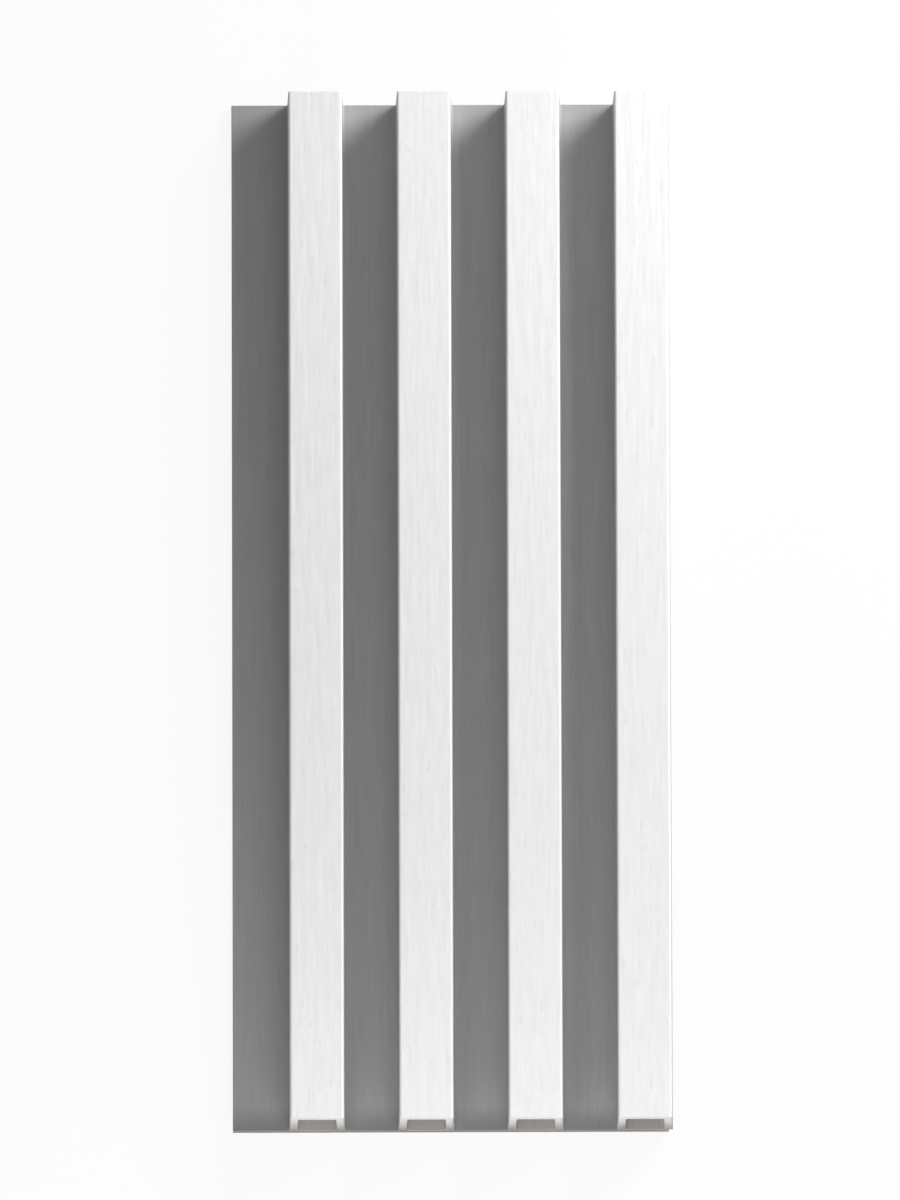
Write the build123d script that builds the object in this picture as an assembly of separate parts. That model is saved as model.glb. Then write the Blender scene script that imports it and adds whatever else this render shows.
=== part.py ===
from build123d import *
import os

# Fluted wall panel: one straight hollow extrusion, lying on its flat back.
# +X runs across the ribs, +Y along them and +Z out of the face.
# The origin is the middle of the back.

# Driving dimensions, in millimetres
panel_length = 388.0
panel_depth = 24.0  # back to rib front
rib_count = 4
rib_pitch = 40.0
rib_front_width = 19.6
rib_base_width = 20.6  # where the flanks meet the web
rib_wall = 3.0
web_thickness = 3.6
lap_overlap = 1.2  # how far the flange tucks under the next panel's last rib
lap_clearance = 0.2

# Corner radii, in millimetres
rib_edge_radius = 0.8
groove_root_radius = 0.6
hollow_front_radius = 0.6
hollow_back_radius = 1.6
flange_edge_radius = 0.4

# The ribs repeat over the cover width, and the flange's overlap is added at its left.
panel_width = rib_count * rib_pitch + lap_overlap
left_edge = -panel_width / 2
right_edge = panel_width / 2
flank_lean = (rib_base_width - rib_front_width) / 2
last_rib_centre = right_edge - rib_base_width / 2
rib_centres = [last_rib_centre - rib_pitch * step for step in reversed(range(rib_count))]


def flank_offset(height):
    """Half the rib's width at a height above the back."""
    rise = (height - web_thickness) / (panel_depth - web_thickness)
    return rib_base_width / 2 - flank_lean * rise


def outer_outline():
    """The section's outside: a flat back, the web and the tapered ribs."""
    points = [(left_edge, 0), (left_edge, web_thickness)]
    for centre in rib_centres:
        points += [
            (centre - rib_base_width / 2, web_thickness),
            (centre - rib_front_width / 2, panel_depth),
            (centre + rib_front_width / 2, panel_depth),
            (centre + rib_base_width / 2, web_thickness),
        ]
    points.append((right_edge, 0))
    outline = make_face(Polyline(*points, close=True))
    rib_edges = outline.vertices().group_by(Axis.Y)[-1]
    outline = fillet(rib_edges, rib_edge_radius)
    web_corners = outline.vertices().filter_by_position(Axis.Y, web_thickness, web_thickness)
    web_corners = web_corners.sort_by(Axis.X)
    outline = fillet(web_corners[1:-1], groove_root_radius)
    flange_corner = outline.vertices().sort_by(Axis.X)[:2].sort_by(Axis.Y)[-1]
    return fillet(flange_corner, flange_edge_radius)


def rib_hollow(centre):
    """The hollow in one rib, one wall inside its flanks and front, and standing on the back plate."""
    hollow_front = panel_depth - rib_wall
    half_back = flank_offset(web_thickness) - rib_wall
    half_front = flank_offset(hollow_front) - rib_wall
    corners = [
        (centre - half_back, web_thickness),
        (centre - half_front, hollow_front),
        (centre + half_front, hollow_front),
        (centre + half_back, web_thickness),
    ]
    hollow = make_face(Polyline(*corners, close=True))
    hollow = fillet(hollow.vertices().group_by(Axis.Y)[-1], hollow_front_radius)
    return fillet(hollow.vertices().group_by(Axis.Y)[0], hollow_back_radius)


def lap_rebate():
    """The step at the last rib's foot, which takes the next panel's flange edge."""
    rebate_depth = lap_overlap + lap_clearance
    rebate_height = web_thickness + lap_clearance
    return Pos(right_edge, 0) * Rectangle(rebate_depth, rebate_height, align=(Align.MAX, Align.MIN))


def panel_solid():
    """The whole panel: its section drawn out to the cut length, half each way."""
    section = outer_outline() - [rib_hollow(centre) for centre in rib_centres] - lap_rebate()
    return extrude(Plane.XZ * section, panel_length / 2, both=True)


os.makedirs("parts", exist_ok=True)
panel = panel_solid()
panel.label = "fluted_panel"
export_step(panel, "parts/fluted_panel.step")
print("fluted_panel", round(panel.volume), "mm3", panel.bounding_box().size)
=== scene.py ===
import math

import bmesh
import bpy
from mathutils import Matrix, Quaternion, Vector


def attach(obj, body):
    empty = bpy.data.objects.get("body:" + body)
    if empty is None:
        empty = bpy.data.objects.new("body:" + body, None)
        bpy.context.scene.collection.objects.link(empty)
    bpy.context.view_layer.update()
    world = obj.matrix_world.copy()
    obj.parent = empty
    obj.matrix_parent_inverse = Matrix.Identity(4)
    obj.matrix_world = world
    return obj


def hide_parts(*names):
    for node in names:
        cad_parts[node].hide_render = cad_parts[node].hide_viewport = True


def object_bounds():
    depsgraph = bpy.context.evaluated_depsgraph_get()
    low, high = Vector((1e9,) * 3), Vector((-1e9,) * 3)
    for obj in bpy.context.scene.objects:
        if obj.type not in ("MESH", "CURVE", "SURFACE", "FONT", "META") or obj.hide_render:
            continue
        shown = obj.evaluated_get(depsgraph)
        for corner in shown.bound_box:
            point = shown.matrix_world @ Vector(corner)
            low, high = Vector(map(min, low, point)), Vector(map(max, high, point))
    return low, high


# Fluted wall panel: one hollow extrusion lying on its back, white ribs and grey grooves.
# Metres, in the part's own frame: X across the ribs, Y along them, Z out of the face.

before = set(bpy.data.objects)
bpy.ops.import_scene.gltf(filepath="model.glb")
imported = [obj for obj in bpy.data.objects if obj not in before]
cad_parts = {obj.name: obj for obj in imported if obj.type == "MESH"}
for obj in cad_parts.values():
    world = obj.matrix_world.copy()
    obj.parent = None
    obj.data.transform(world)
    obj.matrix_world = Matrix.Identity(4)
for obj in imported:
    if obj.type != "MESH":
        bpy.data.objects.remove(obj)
cadLow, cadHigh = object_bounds()
panelLength = cadHigh.y - cadLow.y
leftEdge = cadLow.x
rightEdge = cadHigh.x
bpy.context.scene.view_settings.view_transform = "Standard"
print("frame loaded:", [round(side, 4) for side in cadHigh - cadLow])

# The panel's section, and how its surfaces are cut up
panelSet = {
    "ribCount": 4,
    "ribPitch": 0.040,
    "ribFront": 0.0196,  # rib width at the front
    "ribBase": 0.0206,  # and at the web
    "ribWall": 0.003,
    "web": 0.0036,
    "lapDepth": 0.0014,  # rebate at the last rib's foot
    "lapRise": 0.0038,
    "ribEdge": (0.0008, 5),  # radius and segments of each rounding
    "grooveRoot": (0.0006, 3),
    "hollowFront": (0.0006, 3),
    "hollowBack": (0.0016, 5),
    "flangeEdge": (0.0004, 3),
    "filmTurn": 0.002,  # how far the white film turns down the flanks
    "skin": 0.00022,  # thickness of the film on the sawn ends
    "endEase": 0.00012,  # how much the sawn edges are eased
    "lengthCuts": 129,  # cuts along the panel, and across each rib front
    "frontCuts": 119,
    "smoothBelow": 35,  # degrees between faces that shade as one surface
}
# Pressed grain on the rib fronts: width and length of a streak, its turn in degrees, and its relief
grainSet = {
    "broad": (0.0032, 0.020, 1.6, 0.00014),
    "fine": (0.0017, 0.013, -2.2, 0.00008),
    "hair": (0.0009, 0.014, 0.8, 0.00004),
    "proud": 0.00006,  # how far the highest streaks stand above the rounded edges
    "fade": 0.0012,  # strip beside each rounded edge over which the relief dies out
}

frontHeight = cadHigh.z - grainSet["proud"]  # the rib fronts, before the grain is pressed
hollowTop = frontHeight - panelSet["ribWall"]
lastRib = rightEdge - panelSet["ribBase"] / 2
ribCentres = [lastRib - panelSet["ribPitch"] * step for step in reversed(range(panelSet["ribCount"]))]

closeEnough = 1.5e-5  # for finding vertices by their place
flatAngle = 0.001  # radians between two faces that count as one
endFacing = 0.9  # how squarely a sawn end faces along the panel
sideFacing = 0.95  # and a flank across it
noiseMiddle = 0.5  # the value of a noise that moves nothing


def near(a, b):
    return abs(a - b) < closeEnough


def flankHalf(height):
    rise = (height - panelSet["web"]) / (frontHeight - panelSet["web"])
    return (panelSet["ribBase"] + (panelSet["ribFront"] - panelSet["ribBase"]) * rise) / 2


def pick(kind, test):
    bpy.ops.mesh.select_mode(type=kind)
    bpy.ops.mesh.select_all(action="DESELECT")
    mesh = bmesh.from_edit_mesh(bpy.context.edit_object.data)
    for part in {"VERT": mesh.verts, "EDGE": mesh.edges, "FACE": mesh.faces}[kind]:
        if test(part):
            part.select_set(True)
    mesh.select_flush_mode()
    bmesh.update_edit_mesh(bpy.context.edit_object.data)


def runsAlong(edge):
    return abs(edge.verts[0].co.y - edge.verts[1].co.y) > panelLength / 2


def levelAt(edge, height):
    return all(near(vert.co.z, height) for vert in edge.verts)


def between(edge, low, high):
    return all(low - closeEnough < vert.co.x < high + closeEnough for vert in edge.verts)


def facesEnd(face):
    return abs(face.normal.y) > endFacing


def facesSide(face):
    return abs(face.normal.x) > sideFacing


def cutAt(place, normal):
    bpy.ops.mesh.select_all(action="SELECT")
    bpy.ops.mesh.bisect(plane_co=place, plane_no=normal)


def raiseWall(side):
    # the walls on one side of every rib, drawn up in two steps as they lean in
    half = panelSet["ribBase"] / 2
    inner = half - panelSet["ribWall"]
    spans = [sorted((centre + side * half, centre + side * inner)) for centre in ribCentres]

    def onWeb(edge):
        return levelAt(edge, panelSet["web"]) and any(between(edge, *span) for span in spans)
    pick("EDGE", onWeb)
    last = panelSet["web"]
    for height in (hollowTop, frontHeight):
        lean = flankHalf(last) - flankHalf(height)
        step = (-side * lean, 0, height - last)
        bpy.ops.mesh.extrude_edges_move(TRANSFORM_OT_translate={"value": step})
        last = height


def closeRib(centre):
    # the front of one rib, bridged from wall to wall over its hollow
    half = flankHalf(hollowTop) - panelSet["ribWall"]

    def innerEdge(edge):
        low, high = sorted(vert.co.z for vert in edge.verts)
        middle = sum(vert.co.x for vert in edge.verts) / 2
        return near(low, hollowTop) and near(high, frontHeight) and abs(middle - centre) < half
    pick("EDGE", innerEdge)
    bpy.ops.mesh.bridge_edge_loops()


def roundOff(places, rounding):
    radius, segments = rounding

    def atPlace(edge):
        x, z = edge.verts[0].co.x, edge.verts[0].co.z
        return runsAlong(edge) and any(near(x, px) and near(z, pz) for px, pz in places)
    pick("EDGE", atPlace)
    bpy.ops.mesh.bevel(offset=radius, segments=segments, profile=0.5, affect="EDGES")


def drawSection():
    # a plane the size of the web's end, cut at every wall, with the rib walls raised from it
    bpy.ops.object.select_all(action="DESELECT")
    start = cadLow.y + panelSet["endEase"]
    middle = Vector(((leftEdge + rightEdge) / 2, start, panelSet["web"] / 2))
    bpy.ops.mesh.primitive_plane_add(size=1, location=middle, rotation=(math.pi / 2, 0, 0))
    panel = bpy.context.object
    panel.name = "panel"
    panel.scale = (rightEdge - leftEdge, panelSet["web"], 1)
    bpy.ops.object.transform_apply(location=True, rotation=True, scale=True)
    bpy.ops.object.mode_set(mode="EDIT")
    half = panelSet["ribBase"] / 2
    for centre in ribCentres:
        for offset in (-half, panelSet["ribWall"] - half, half - panelSet["ribWall"], half):
            cutAt((centre + offset, 0, 0), (1, 0, 0))
    cutAt((rightEdge - panelSet["lapDepth"], 0, 0), (1, 0, 0))
    raiseWall(-1)
    raiseWall(1)
    for centre in ribCentres:
        closeRib(centre)
    return panel


def cutLap():
    # the rebate under the last rib, a little higher than the web that tucks into it
    edge = rightEdge - panelSet["lapDepth"]

    def inLap(face):
        middle = face.calc_center_median()
        return middle.x > edge and middle.z < panelSet["web"]
    pick("FACE", inLap)
    bpy.ops.mesh.delete(type="FACE")
    pick("VERT", lambda vert: vert.co.x > edge - closeEnough and near(vert.co.z, panelSet["web"]))
    bpy.ops.transform.translate(value=(0, 0, panelSet["lapRise"] - panelSet["web"]))


def drawOut():
    # the section drawn out to length, left open at both ends, and its long edges rounded
    bpy.ops.mesh.select_mode(type="FACE")
    bpy.ops.mesh.select_all(action="SELECT")
    reach = panelLength - 2 * panelSet["endEase"]
    bpy.ops.mesh.extrude_region_move(TRANSFORM_OT_translate={"value": (0, reach, 0)})
    bpy.ops.mesh.select_all(action="SELECT")
    bpy.ops.mesh.normals_make_consistent(inside=False)
    pick("FACE", facesEnd)
    bpy.ops.mesh.delete(type="FACE")
    pick("EDGE", lambda edge: runsAlong(edge) and edge.calc_face_angle(math.pi) < flatAngle)
    bpy.ops.mesh.dissolve_edges(use_verts=True)
    base, front = flankHalf(panelSet["web"]), flankHalf(frontHeight)
    hollowBase = base - panelSet["ribWall"]
    hollowFront = flankHalf(hollowTop) - panelSet["ribWall"]
    both = [(centre, side) for centre in ribCentres for side in (-1, 1)]
    roundOff([(c + s * front, frontHeight) for c, s in both], panelSet["ribEdge"])
    roundOff([(c + s * base, panelSet["web"]) for c, s in both], panelSet["grooveRoot"])
    roundOff([(c + s * hollowFront, hollowTop) for c, s in both], panelSet["hollowFront"])
    roundOff([(c + s * hollowBase, panelSet["web"]) for c, s in both], panelSet["hollowBack"])
    roundOff([(leftEdge, panelSet["web"])], panelSet["flangeEdge"])
    cutAt((0, 0, frontHeight - panelSet["filmTurn"]), (0, 0, 1))


def cutFine():
    # short lengths all round, and narrow strips across the rib fronts for the grain
    pick("EDGE", runsAlong)
    bpy.ops.mesh.subdivide(number_cuts=panelSet["lengthCuts"])
    half = panelSet["ribFront"] / 2
    pick("EDGE", lambda edge: levelAt(edge, frontHeight) and edge.calc_length() > half)
    bpy.ops.mesh.subdivide(number_cuts=panelSet["frontCuts"])


def closeEnds():
    # sawn ends: filled flat, then eased so that the film shows as a thin rim
    bpy.ops.object.mode_set(mode="EDIT")
    for facing in (-1, 1):
        pick("EDGE", lambda edge: edge.is_boundary and edge.verts[0].co.y * facing > 0)
        bpy.ops.mesh.fill(use_beauty=True)
    bpy.ops.mesh.select_all(action="SELECT")
    bpy.ops.mesh.normals_make_consistent(inside=False)
    for facing in (-1, 1):
        pick("FACE", lambda face: facesEnd(face) and face.normal.y * facing > 0)
        bpy.ops.mesh.inset(thickness=panelSet["skin"], depth=panelSet["endEase"], use_boundary=True)
    bpy.ops.object.mode_set(mode="OBJECT")


def pressGrain(panel):
    # relief on the rib fronts, half of it pressed in, from stretched noise that an empty places
    bpy.ops.object.mode_set(mode="OBJECT")
    fronts = panel.vertex_groups.new(name="ribFronts")
    reach = panelSet["ribFront"] / 2 - panelSet["ribEdge"][0]
    for vert in panel.data.vertices:
        if near(vert.co.z, frontHeight):
            offset = min(abs(vert.co.x - centre) for centre in ribCentres)
            fronts.add([vert.index], max(0, min(1, (reach - offset) / grainSet["fade"])), "REPLACE")
    for name in ("broad", "fine", "hair"):
        width, length, turn, relief = grainSet[name]
        bpy.ops.object.empty_add(rotation=(0, 0, math.radians(turn)))
        guide = bpy.context.object
        guide.scale = (width, length, 1)
        noise = bpy.data.textures.new(name + "Grain", type="CLOUDS")
        noise.noise_scale = 1
        noise.noise_depth = 1
        noise.noise_basis = "IMPROVED_PERLIN"
        bpy.ops.object.select_all(action="DESELECT")
        bpy.context.view_layer.objects.active = panel
        panel.select_set(True)
        press = panel.modifiers.new(name + "Grain", "DISPLACE")
        press.texture = noise
        press.texture_coords = "OBJECT"
        press.texture_coords_object = guide
        press.vertex_group = "ribFronts"
        press.direction = "Z"
        press.mid_level = noiseMiddle
        press.strength = relief
        bpy.context.view_layer.update()
        bpy.ops.object.modifier_apply(modifier=press.name)
        bpy.data.objects.remove(guide)


def makePanel():
    panel = drawSection()
    cutLap()
    drawOut()
    cutFine()
    pressGrain(panel)
    closeEnds()
    bpy.ops.object.shade_smooth_by_angle(angle=math.radians(panelSet["smoothBelow"]))
    return panel


def addNode(tree, kind, place, **values):
    node = tree.nodes.new(kind)
    node.location = place
    for name, value in values.items():
        node.inputs[name].default_value = value
    return node


# The shared patterns: how often they vary in a metre, and the noise levels that they spread out
streakSet = {"sway": 45, "levels": (0.28, 0.72), "poreScale": 1.9, "poreLevels": (0.64, 0.74)}
shadeMaskSet = {"patches": 260}


def makeStreakGroup():
    # streaks along Y: Streak goes from 0 to 1 about a half, Pore marks a few thin short lines
    group = bpy.data.node_groups.new("alongStreaks", "ShaderNodeTree")
    sockets = group.interface
    sockets.new_socket("Vector", in_out="INPUT", socket_type="NodeSocketVector")
    for name in ("Width", "Length", "Wander"):
        sockets.new_socket(name, in_out="INPUT", socket_type="NodeSocketFloat")
    sockets.new_socket("Streak", in_out="OUTPUT", socket_type="NodeSocketFloat")
    sockets.new_socket("Pore", in_out="OUTPUT", socket_type="NodeSocketFloat")
    link = group.links.new
    entry = addNode(group, "NodeGroupInput", (-1000, 0))
    leave = addNode(group, "NodeGroupOutput", (800, 0))
    axes = addNode(group, "ShaderNodeSeparateXYZ", (-800, 100))
    link(entry.outputs["Vector"], axes.inputs[0])
    drift = addNode(group, "ShaderNodeTexNoise", (-800, -150), Scale=streakSet["sway"], Detail=1)
    link(entry.outputs["Vector"], drift.inputs["Vector"])
    sway = addNode(group, "ShaderNodeMath", (-620, -150))
    sway.operation = "MULTIPLY"
    link(drift.outputs[0], sway.inputs[0])
    link(entry.outputs["Wander"], sway.inputs[1])
    moved = addNode(group, "ShaderNodeMath", (-450, 100))
    link(axes.outputs["X"], moved.inputs[0])
    link(sway.outputs[0], moved.inputs[1])
    scaled = []
    for index, (source, size) in enumerate([
        (moved.outputs[0], "Width"), (axes.outputs["Y"], "Length"), (axes.outputs["Z"], "Width"),
    ]):
        part = addNode(group, "ShaderNodeMath", (-270, 150 - 170 * index))
        part.operation = "DIVIDE"
        link(source, part.inputs[0])
        link(entry.outputs[size], part.inputs[1])
        scaled.append(part.outputs[0])
    joined = addNode(group, "ShaderNodeCombineXYZ", (-90, 50))
    for index, part in enumerate(scaled):
        link(part, joined.inputs[index])
    streak = addNode(group, "ShaderNodeTexNoise", (100, 200), Scale=1, Detail=3, Roughness=0.6)
    link(joined.outputs[0], streak.inputs["Vector"])
    spread = addNode(group, "ShaderNodeMapRange", (300, 200))
    spread.inputs["From Min"].default_value = streakSet["levels"][0]
    spread.inputs["From Max"].default_value = streakSet["levels"][1]
    link(streak.outputs[0], spread.inputs["Value"])
    link(spread.outputs[0], leave.inputs["Streak"])
    pore = addNode(group, "ShaderNodeTexNoise", (100, -150), Scale=streakSet["poreScale"], Detail=1)
    link(joined.outputs[0], pore.inputs["Vector"])
    thin = addNode(group, "ShaderNodeMapRange", (300, -150))
    thin.inputs["From Min"].default_value = streakSet["poreLevels"][0]
    thin.inputs["From Max"].default_value = streakSet["poreLevels"][1]
    link(pore.outputs[0], thin.inputs["Value"])
    link(thin.outputs[0], leave.inputs["Pore"])
    return group


def makeShadeMaskGroup():
    # Fade goes from 0 at Start to 1 at End along one coordinate, with an uneven border: the mask of the
    # painted shade
    group = bpy.data.node_groups.new("raggedShadeFade", "ShaderNodeTree")
    sockets = group.interface
    sockets.new_socket("Vector", in_out="INPUT", socket_type="NodeSocketVector")
    for name in ("Along", "Start", "End", "Ragged"):
        sockets.new_socket(name, in_out="INPUT", socket_type="NodeSocketFloat")
    sockets.new_socket("Fade", in_out="OUTPUT", socket_type="NodeSocketFloat")
    link = group.links.new
    entry = addNode(group, "NodeGroupInput", (-800, 0))
    leave = addNode(group, "NodeGroupOutput", (500, 0))
    patch = addNode(group, "ShaderNodeTexNoise", (-600, -150), Scale=shadeMaskSet["patches"], Detail=3)
    link(entry.outputs["Vector"], patch.inputs["Vector"])
    centred = addNode(group, "ShaderNodeMath", (-420, -150))
    centred.operation = "SUBTRACT"
    centred.inputs[1].default_value = noiseMiddle
    link(patch.outputs[0], centred.inputs[0])
    uneven = addNode(group, "ShaderNodeMath", (-240, -50))
    uneven.operation = "MULTIPLY_ADD"
    link(centred.outputs[0], uneven.inputs[0])
    link(entry.outputs["Ragged"], uneven.inputs[1])
    link(entry.outputs["Along"], uneven.inputs[2])
    ramp = addNode(group, "ShaderNodeMapRange", (200, 0))
    ramp.interpolation_type = "SMOOTHSTEP"
    link(uneven.outputs[0], ramp.inputs["Value"])
    link(entry.outputs["Start"], ramp.inputs["From Min"])
    link(entry.outputs["End"], ramp.inputs["From Max"])
    link(ramp.outputs[0], leave.inputs["Fade"])
    return group


def paintShade(tree, place, colour, fade, shadeMasks):
    # painted shade: the colour turns towards a darker tint along the panel, as near a cut end, or down
    # its depth
    link = tree.links.new
    axes = addNode(tree, "ShaderNodeSeparateXYZ", (-450, -400))
    link(place.outputs["Object"], axes.inputs[0])
    turn = addNode(tree, "ShaderNodeGroup", (-90, -400))
    turn.node_tree = shadeMasks
    turn.inputs["Start"].default_value = fade["start"]
    turn.inputs["End"].default_value = fade["end"]
    turn.inputs["Ragged"].default_value = fade["ragged"]
    link(place.outputs["Object"], turn.inputs["Vector"])
    link(axes.outputs[fade["axis"]], turn.inputs["Along"])
    turned = addNode(tree, "ShaderNodeMix", (350, 200))
    turned.data_type = "RGBA"
    turned.blend_type = "MULTIPLY"
    turned.inputs["B"].default_value = (*fade["shadeTint"], 1)
    link(turn.outputs["Fade"], turned.inputs["Factor"])
    link(colour, turned.inputs["A"])
    return turned.outputs["Result"]


def makeFinish(name, look, streaks, shadeMasks):
    # a streaked surface: two tones and darker pores, a roughness range, and a little bump
    finish = bpy.data.materials.new(name)
    finish.use_nodes = True
    tree = finish.node_tree
    tree.nodes.clear()
    link = tree.links.new
    out = addNode(tree, "ShaderNodeOutputMaterial", (900, 0))
    shader = addNode(tree, "ShaderNodeBsdfPrincipled", (600, 0))
    shader.inputs["Specular IOR Level"].default_value = look["specular"]
    link(shader.outputs[0], out.inputs["Surface"])
    place = addNode(tree, "ShaderNodeTexCoord", (-700, 0))
    grain = addNode(tree, "ShaderNodeGroup", (-450, 0))
    grain.node_tree = streaks
    grain.inputs["Width"].default_value = look["width"]
    grain.inputs["Length"].default_value = look["length"]
    grain.inputs["Wander"].default_value = look["wander"]
    if "turn" in look:  # the saw went across the end, not along the panel
        across = addNode(tree, "ShaderNodeMapping", (-620, 150))
        across.inputs["Rotation"].default_value = [math.radians(angle) for angle in look["turn"]]
        link(place.outputs["Object"], across.inputs["Vector"])
        link(across.outputs[0], grain.inputs["Vector"])
    else:
        link(place.outputs["Object"], grain.inputs["Vector"])
    tone = addNode(tree, "ShaderNodeMix", (-150, 200))
    tone.data_type = "RGBA"
    tone.inputs["A"].default_value = (*look["dark"], 1)
    tone.inputs["B"].default_value = (*look["light"], 1)
    link(grain.outputs["Streak"], tone.inputs["Factor"])
    flecked = addNode(tree, "ShaderNodeMix", (150, 200))
    flecked.data_type = "RGBA"
    flecked.inputs["B"].default_value = (*look["fleck"], 1)
    link(grain.outputs["Pore"], flecked.inputs["Factor"])
    link(tone.outputs["Result"], flecked.inputs["A"])
    colour = flecked.outputs["Result"]
    # painted shade, for the finishes that have it
    if "fade" in look:
        colour = paintShade(tree, place, colour, look["fade"], shadeMasks)
    link(colour, shader.inputs["Base Color"])
    gloss = addNode(tree, "ShaderNodeMapRange", (-150, -50))
    gloss.inputs["To Min"].default_value = look["roughness"][0]
    gloss.inputs["To Max"].default_value = look["roughness"][1]
    link(grain.outputs["Streak"], gloss.inputs["Value"])
    link(gloss.outputs[0], shader.inputs["Roughness"])
    bump = addNode(tree, "ShaderNodeBump", (350, -250), Strength=look["bump"], Distance=look["relief"])
    link(grain.outputs["Streak"], bump.inputs["Height"])
    link(bump.outputs[0], shader.inputs["Normal"])
    return finish


# Finishes: colours, streak width, length and wander, roughness from dark to light streaks, and bump
finishSet = {
    "brushedFilm": {
        "dark": (0.831, 0.831, 0.829), "light": (0.878, 0.878, 0.876), "fleck": (0.806, 0.806, 0.801),
        "width": 0.0027, "length": 0.014, "wander": 0.0015, "roughness": (0.88, 0.76), "specular": 0.15,
        "bump": 0.5, "relief": 0.00003,
    },
    "grooveGrey": {
        "dark": (0.349, 0.348, 0.353), "light": (0.380, 0.379, 0.384), "fleck": (0.335, 0.334, 0.339),
        "width": 0.0011, "length": 0.03, "wander": 0.002, "roughness": (0.62, 0.52), "specular": 0.35,
        "bump": 0.4, "relief": 0.00002,
        # painted shade: the grooves turn darker towards the lower cut end
        "fade": {
            "axis": "Y", "start": cadLow.y + 0.0105, "end": cadLow.y, "ragged": 0.002,
            "shadeTint": (0.68, 0.67, 0.65),
        },
    },
    "flankGrey": {
        "dark": (0.412, 0.412, 0.417), "light": (0.452, 0.452, 0.457), "fleck": (0.391, 0.391, 0.396),
        "width": 0.0014, "length": 0.03, "wander": 0.002, "roughness": (0.6, 0.5), "specular": 0.35,
        "bump": 0.4, "relief": 0.00002,
    },
    "sawnCore": {
        "dark": (0.77, 0.765, 0.75), "light": (0.83, 0.827, 0.815), "fleck": (0.7, 0.693, 0.675),
        "width": 0.0005, "length": 0.012, "wander": 0.0006, "roughness": (0.9, 0.8), "specular": 0.25,
        "bump": 0.6, "relief": 0.00005, "turn": (90, 28, 0),
        # painted shade: the sawn ends turn darker down their depth towards the floor, where the contact
        # shade falls
        "fade": {
            "axis": "Z", "start": frontHeight * 0.97, "end": 0, "ragged": 0.004,
            "shadeTint": (0.4, 0.38, 0.355),
        },
    },
    # the unsawn core inside the hollows, on the back and in the lap: a darker, browner copy of the sawn
    # core's white, painted shade for the hollows
    "shadedRawCore": {
        "dark": (0.485, 0.46, 0.436), "light": (0.545, 0.52, 0.496), "fleck": (0.447, 0.424, 0.401),
        "width": 0.0007, "length": 0.06, "wander": 0.001, "roughness": (0.7, 0.58), "specular": 0.3,
        "bump": 0.5, "relief": 0.00004,
    },
}


def finishOf(face):
    # which finish a face has, by where it lies on the section
    x, z = face.center.x, face.center.z
    if facesEnd(face):
        return "sawnCore"
    if z > frontHeight - panelSet["filmTurn"]:
        return "brushedFilm"
    centre = min(ribCentres, key=lambda place: abs(place - x))
    insideWalls = abs(x - centre) < flankHalf(z) - panelSet["ribWall"] / 2
    rim = panelSet["skin"]  # the rims at the sawn ends lie a little deeper
    inHollow = insideWalls and z > panelSet["web"] - rim
    inLap = x > rightEdge - panelSet["lapDepth"] - rim and z < panelSet["lapRise"] + closeEnough
    onBack = z < panelSet["web"] - panelSet["flangeEdge"][0]
    # these faces take the core colour darkened as painted shade
    if inHollow or inLap or onBack:
        return "shadedRawCore"
    if facesSide(face) and z > panelSet["web"]:
        return "flankGrey"
    return "grooveGrey"


def dressPanel(panel):
    streaks = makeStreakGroup()
    shadeMasks = makeShadeMaskGroup()
    names = list(finishSet)
    for name in names:
        panel.data.materials.append(makeFinish(name, finishSet[name], streaks, shadeMasks))
    for face in panel.data.polygons:
        face.material_index = names.index(finishOf(face))


panel = makePanel()
dressPanel(panel)
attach(panel, "root")
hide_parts("fluted_panel")
print("panel:", len(panel.data.polygons), "faces")

# White floor: seen as plain white with a faint shadow, and lit as a pale floor
floorSet = {"size": 60, "colour": (0.85, 0.85, 0.85, 1), "whiten": 0.9}


def whiteRays(tree):
    # 1 for the rays that see the background straight, in gloss or through glass
    path = addNode(tree, "ShaderNodeLightPath", (-700, 200))
    either = addNode(tree, "ShaderNodeMath", (-450, 200))
    either.operation = "MAXIMUM"
    tree.links.new(path.outputs["Is Camera Ray"], either.inputs[0])
    tree.links.new(path.outputs["Is Glossy Ray"], either.inputs[1])
    whole = addNode(tree, "ShaderNodeMath", (-250, 200))
    whole.operation = "MAXIMUM"
    tree.links.new(either.outputs[0], whole.inputs[0])
    tree.links.new(path.outputs["Is Transmission Ray"], whole.inputs[1])
    return whole.outputs[0]


def makeFloor():
    bpy.ops.object.select_all(action="DESELECT")
    bpy.ops.mesh.primitive_plane_add(size=floorSet["size"], location=(0, 0, cadLow.z))
    floor = bpy.context.object
    floor.name = "floor"
    paper = bpy.data.materials.new("whiteFloor")
    paper.use_nodes = True
    tree = paper.node_tree
    tree.nodes.clear()
    out = addNode(tree, "ShaderNodeOutputMaterial", (500, 0))
    matt = addNode(tree, "ShaderNodeBsdfDiffuse", (0, -100), Color=floorSet["colour"])
    white = addNode(tree, "ShaderNodeEmission", (0, -250), Strength=1)
    share = addNode(tree, "ShaderNodeMath", (0, 200))
    share.operation = "MULTIPLY"
    share.inputs[1].default_value = floorSet["whiten"]
    tree.links.new(whiteRays(tree), share.inputs[0])
    mixed = addNode(tree, "ShaderNodeMixShader", (250, 0))
    tree.links.new(share.outputs[0], mixed.inputs[0])
    tree.links.new(matt.outputs[0], mixed.inputs[1])
    tree.links.new(white.outputs[0], mixed.inputs[2])
    tree.links.new(mixed.outputs[0], out.inputs["Surface"])
    floor.data.materials.append(paper)


makeFloor()
print("floor laid")

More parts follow.
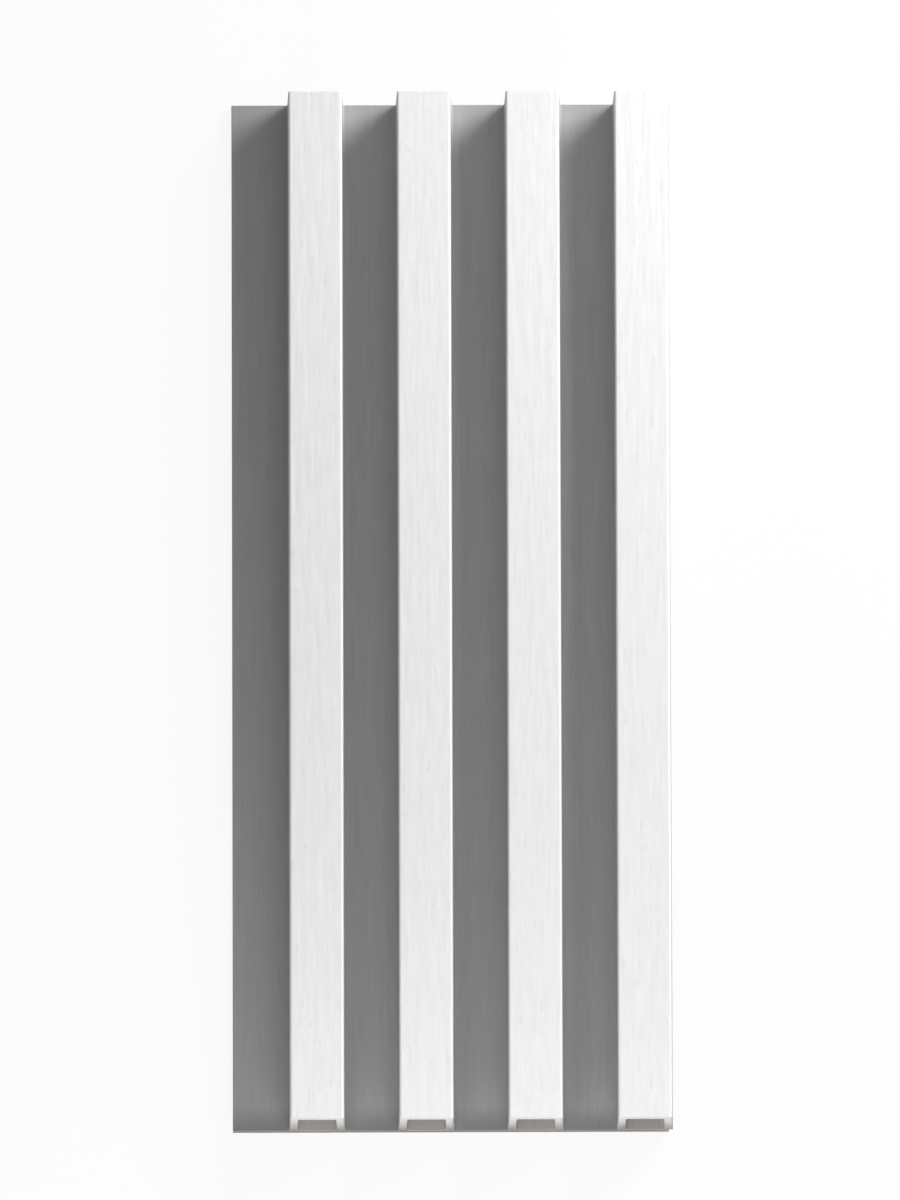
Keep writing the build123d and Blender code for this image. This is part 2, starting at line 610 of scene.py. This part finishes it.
# Lamps: place, the point each is aimed at, width and height, and watts
lampSet = {
    "key": ((0.65, 0.56, 0.46), (0, 0, 0), (0.50, 0.50), 11.05),  # low over the top right corner
    "overhead": ((0.20, 0.45, 1.15), (0, 0, 0), (0.8, 0.8), 1.7),  # soft, down into the grooves
    "strip": ((-0.03, -0.45, 0.25), (-0.02, -0.10, 0), (0.40, 0.16), 0.92),  # across the lower end
}
skySet = {"strength": 0.185}


def makeLamps():
    for name, (place, target, size, watts) in lampSet.items():
        bpy.ops.object.light_add(type="AREA", location=place)
        lamp = bpy.context.object
        lamp.name = name + "Lamp"
        away = Vector(place) - Vector(target)
        lamp.rotation_euler = away.to_track_quat("Z", "Y").to_euler()
        lamp.data.shape = "DISK" if size[0] == size[1] else "RECTANGLE"
        lamp.data.size, lamp.data.size_y = size
        lamp.data.energy = watts
        lamp.visible_camera = False


def makeSky():
    sky = bpy.data.worlds.new("paleStudio")
    bpy.context.scene.world = sky
    sky.use_nodes = True
    tree = sky.node_tree
    tree.nodes.clear()
    out = addNode(tree, "ShaderNodeOutputWorld", (500, 0))
    soft = addNode(tree, "ShaderNodeBackground", (0, -100), Strength=skySet["strength"])
    white = addNode(tree, "ShaderNodeBackground", (0, -250), Strength=1)
    for light in (soft, white):
        light.inputs["Color"].default_value = (1, 1, 1, 1)
    mixed = addNode(tree, "ShaderNodeMixShader", (250, 0))
    tree.links.new(whiteRays(tree), mixed.inputs[0])
    tree.links.new(soft.outputs[0], mixed.inputs[1])
    tree.links.new(white.outputs[0], mixed.inputs[2])
    tree.links.new(mixed.outputs[0], out.inputs["Surface"])


makeLamps()
makeSky()
print("lamps:", list(lampSet))

# Camera: long lens, looking down on the panel from its lower end
cameraSet = {
    "elevation": 76.2,  # degrees above the floor
    "distance": 13.0,
    "farthest": 100,  # what the camera still sees
    "sensor": 36,  # millimetres, along the picture's height
    "frameHeight": 0.4408,  # metres seen from top to bottom of the picture
    "roll": -0.17,  # degrees
    "aim": (-0.0005, 0.0039, 0.012),  # the point in the middle of the picture
}


def makeCamera():
    aim = Vector(cameraSet["aim"])
    rise = math.radians(cameraSet["elevation"])
    back = Vector((0, -math.cos(rise), math.sin(rise)))
    bpy.ops.object.camera_add(location=aim + back * cameraSet["distance"])
    camera = bpy.context.object
    camera.name = "camera"
    turned = back.to_track_quat("Z", "Y") @ Quaternion((0, 0, 1), math.radians(cameraSet["roll"]))
    camera.rotation_euler = turned.to_euler()
    camera.data.sensor_width = cameraSet["sensor"]
    camera.data.lens = cameraSet["sensor"] * cameraSet["distance"] / cameraSet["frameHeight"]
    camera.data.clip_end = cameraSet["farthest"]
    bpy.context.scene.camera = camera


makeCamera()
print("camera set")
